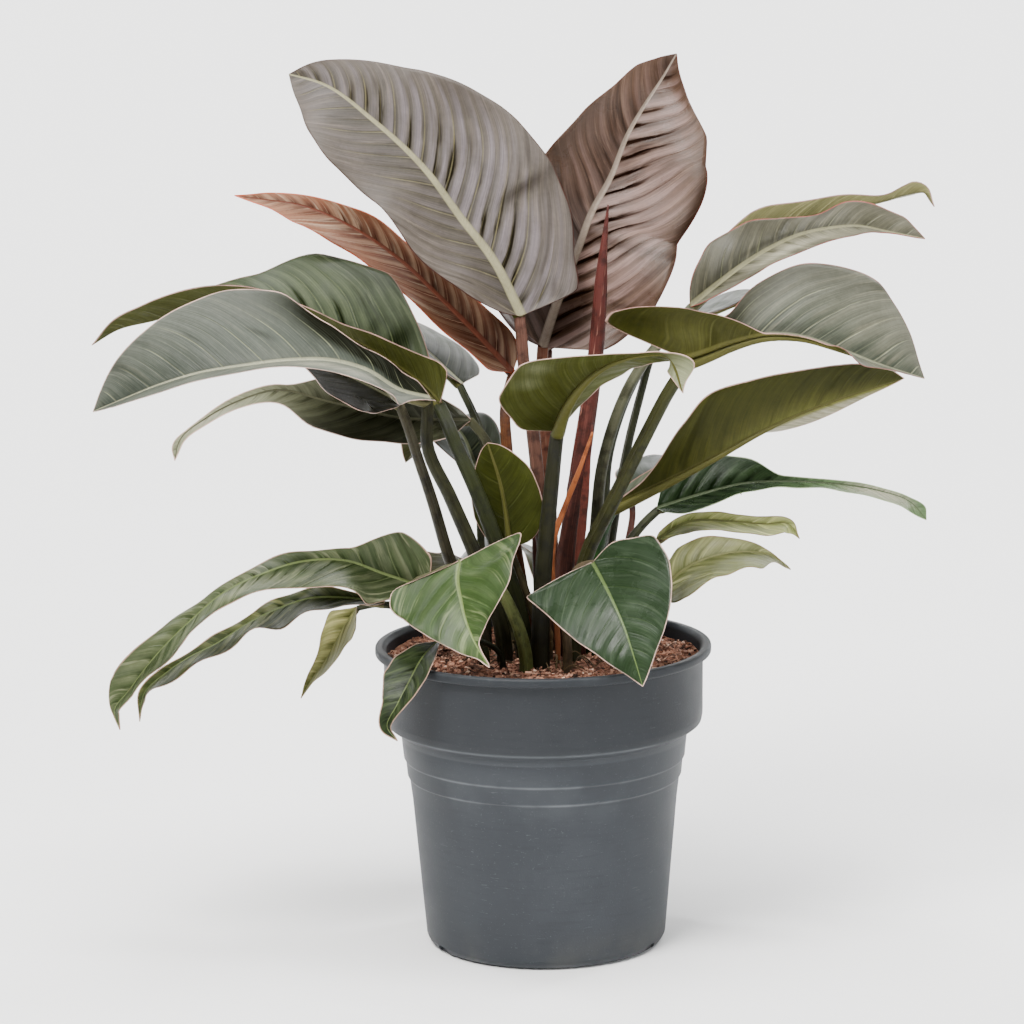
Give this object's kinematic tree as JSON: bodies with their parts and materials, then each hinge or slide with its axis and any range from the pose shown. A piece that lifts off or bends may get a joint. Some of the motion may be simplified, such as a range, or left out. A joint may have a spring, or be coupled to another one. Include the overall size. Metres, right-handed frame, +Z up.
{
  "type": "potted philodendron",
  "caption": "Broad-leaved self-heading philodendron with long petioles, standing in soil in a round nursery pot with a stepped collar and drain holes.",
  "frame": {"origin": "middle of the pot's underside, on the surface it stands on", "axes": "+Z up, +X to the viewer's right and -Y towards the viewer, as the picture shows it"},
  "size_m": [0.529, 0.2739, 0.55],
  "materials": {
    "pot": "matte, lightly scuffed",
    "soil": "coarse peat and coir chips",
    "stump": "dull, dark",
    "red_stem": "waxy",
    "dry_sheath": "dry, papery",
    "leaf_bronze": "waxy satin",
    "leaf_slate": "waxy satin",
    "leaf_olive": "soft satin underside",
    "leaf_dark": "waxy satin",
    "leaf_green": "waxy satin"
  },
  "bodies": {
    "root": {"driedSheath": "dry_sheath", "leaf_backDown": "leaf_green", "leaf_backDownLeft": "leaf_green", "leaf_backDownRight": "leaf_green", "leaf_backHigh": "leaf_green", "leaf_backLeft": "leaf_green", "leaf_backRight": "leaf_green", "leaf_backThin": "leaf_green", "leaf_backTip": "leaf_green", "leaf_centreSmall": "leaf_olive", "leaf_centreUnder": "leaf_olive", "leaf_frontLeft": "leaf_green", "leaf_frontRight": "leaf_green", "leaf_hanging": "leaf_green", "leaf_leftBack": "leaf_green", "leaf_leftDark": "leaf_dark", "leaf_leftFront": "leaf_slate", "leaf_leftUnder": "leaf_dark", "leaf_lowLeftLong": "leaf_green", "leaf_lowLeftUnder": "leaf_green", "leaf_rightBig": "leaf_slate", "leaf_rightDark": "leaf_dark", "leaf_rightLow": "leaf_green", "leaf_rightPale": "leaf_green", "leaf_rightUnder": "leaf_olive", "leaf_rimLeaf": "leaf_green", "leaf_topRight": "leaf_slate", "leaf_topRightBack": "leaf_olive", "leaf_upperBack": "leaf_bronze", "leaf_upperLeft": "leaf_slate", "leaf_upperRight": "leaf_bronze", "newLeafSpike": "red_stem", "pot": "pot", "redSheath": "red_stem", "soil": "soil", "stump": "stump"}
  },
  "joints": []
}
